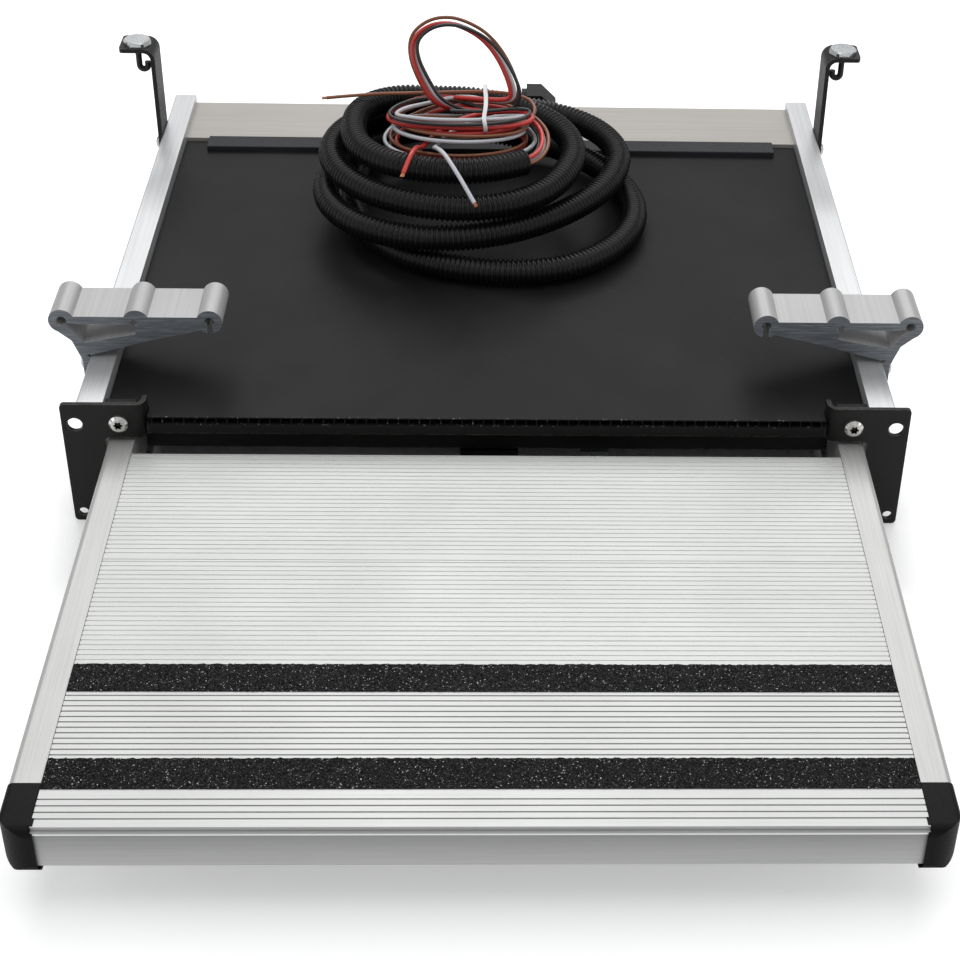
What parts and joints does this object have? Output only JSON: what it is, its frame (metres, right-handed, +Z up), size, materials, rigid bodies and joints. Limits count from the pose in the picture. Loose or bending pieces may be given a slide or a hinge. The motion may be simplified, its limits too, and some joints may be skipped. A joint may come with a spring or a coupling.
{
  "type": "caravan pull out step",
  "caption": "Motor-driven pull out entrance step: ribbed aluminium tread on side rails in a covered under-floor housing, shown drawn out.",
  "frame": {"origin": "midway between the two upper fixing holes, on the front face of the fascia ears", "axes": "+X to the right seen from the entrance, +Y to the rear under the vehicle, +Z up; the tread slides home along +Y"},
  "size_m": [0.509, 0.7135, 0.2023],
  "materials": {
    "rail_aluminium": "mill finish with fine drawing lines along the length",
    "tread_aluminium": "satin anodised, drawn along the length",
    "plank_aluminium": "satin anodised, finely ribbed across the step",
    "bracket_aluminium": "sawn and lightly tumbled extrusion",
    "beige_aluminium": "smooth pale warm grey coating",
    "black_steel": "satin black powder coat with a fine grain",
    "zinc_steel": "bright zinc plated",
    "black_plastic": "moulded, fine grain",
    "cover_plastic": "hollow-core sheet, faint lines of its cells",
    "grip_grit": "coarse mineral grit that sparkles",
    "nylon": "natural, slightly waxy",
    "cast_housing": "glass-filled moulding",
    "motor_steel": "smooth dark paint",
    "conduit_plastic": "corrugated, slightly glossy",
    "wire_red": "smooth insulation",
    "wire_brown": "smooth insulation",
    "wire_white": "smooth insulation"
  },
  "bodies": {
    "housing": {"brace_screws": "zinc_steel", "bracket_screws": "zinc_steel", "brown_wire_end": "wire_brown", "cable_gland": "black_plastic", "conduit_coil": "conduit_plastic", "conduit_lead": "conduit_plastic", "cover_clamp_strip": "black_plastic", "drive_gearbox": "cast_housing", "drive_motor": "motor_steel", "ear_screws": "zinc_steel", "flange_screws": "zinc_steel", "front_brace": "zinc_steel", "front_cross_bar": "black_steel", "front_limit_switch": "black_plastic", "hanger_screws": "zinc_steel", "hook_nuts": "zinc_steel", "left_clamp_bracket": "bracket_aluminium", "left_fascia_ear": "black_steel", "left_front_glide": "nylon", "left_hook_bolt": "black_steel", "left_housing_rail": "rail_aluminium", "left_rail_end_block": "black_plastic", "left_rear_hanger": "black_steel", "motor_strap": "zinc_steel", "rear_brace": "zinc_steel", "rear_cross_profile": "beige_aluminium", "rear_limit_switch": "black_plastic", "red_wire_end": "wire_red", "right_clamp_bracket": "bracket_aluminium", "right_fascia_ear": "black_steel", "right_front_glide": "nylon", "right_hook_bolt": "black_steel", "right_housing_rail": "rail_aluminium", "right_rail_end_block": "black_plastic", "right_rear_hanger": "black_steel", "screw_bearing_block": "nylon", "top_cover_panel": "cover_plastic", "white_wire_end": "wire_white", "wire_hank": "wire_red", "wire_loop": "wire_red"},
    "tread": {"left_tread_rail": "tread_aluminium", "right_tread_rail": "tread_aluminium", "rear_plank": "plank_aluminium", "middle_plank": "plank_aluminium", "nose_plank": "plank_aluminium", "front_grip_strip": "grip_grit", "rear_grip_strip": "grip_grit", "left_end_cap": "black_plastic", "right_end_cap": "black_plastic", "plank_screws": "zinc_steel", "tread_crossbar": "rail_aluminium", "tread_rear_tie": "rail_aluminium", "drive_nut": "nylon", "switch_trip": "zinc_steel", "left_rear_glide": "nylon", "right_rear_glide": "nylon"},
    "screw": {"lead_screw": "zinc_steel"}
  },
  "joints": [
    {"name": "tread_slide", "type": "slide", "parent": "housing", "child": "tread", "axis": [0, 1, 0], "range_m": [0, 0.27]},
    {"name": "screw_spin", "type": "hinge", "parent": "housing", "child": "screw", "pos_m": [0, 0, -0.049], "axis": [0, 1, 0], "range_deg": [0, 9730]}
  ],
  "couplings": [
    {"joint": "screw_spin", "follows": "tread_slide", "rad_per_m": 628.32}
  ]
}
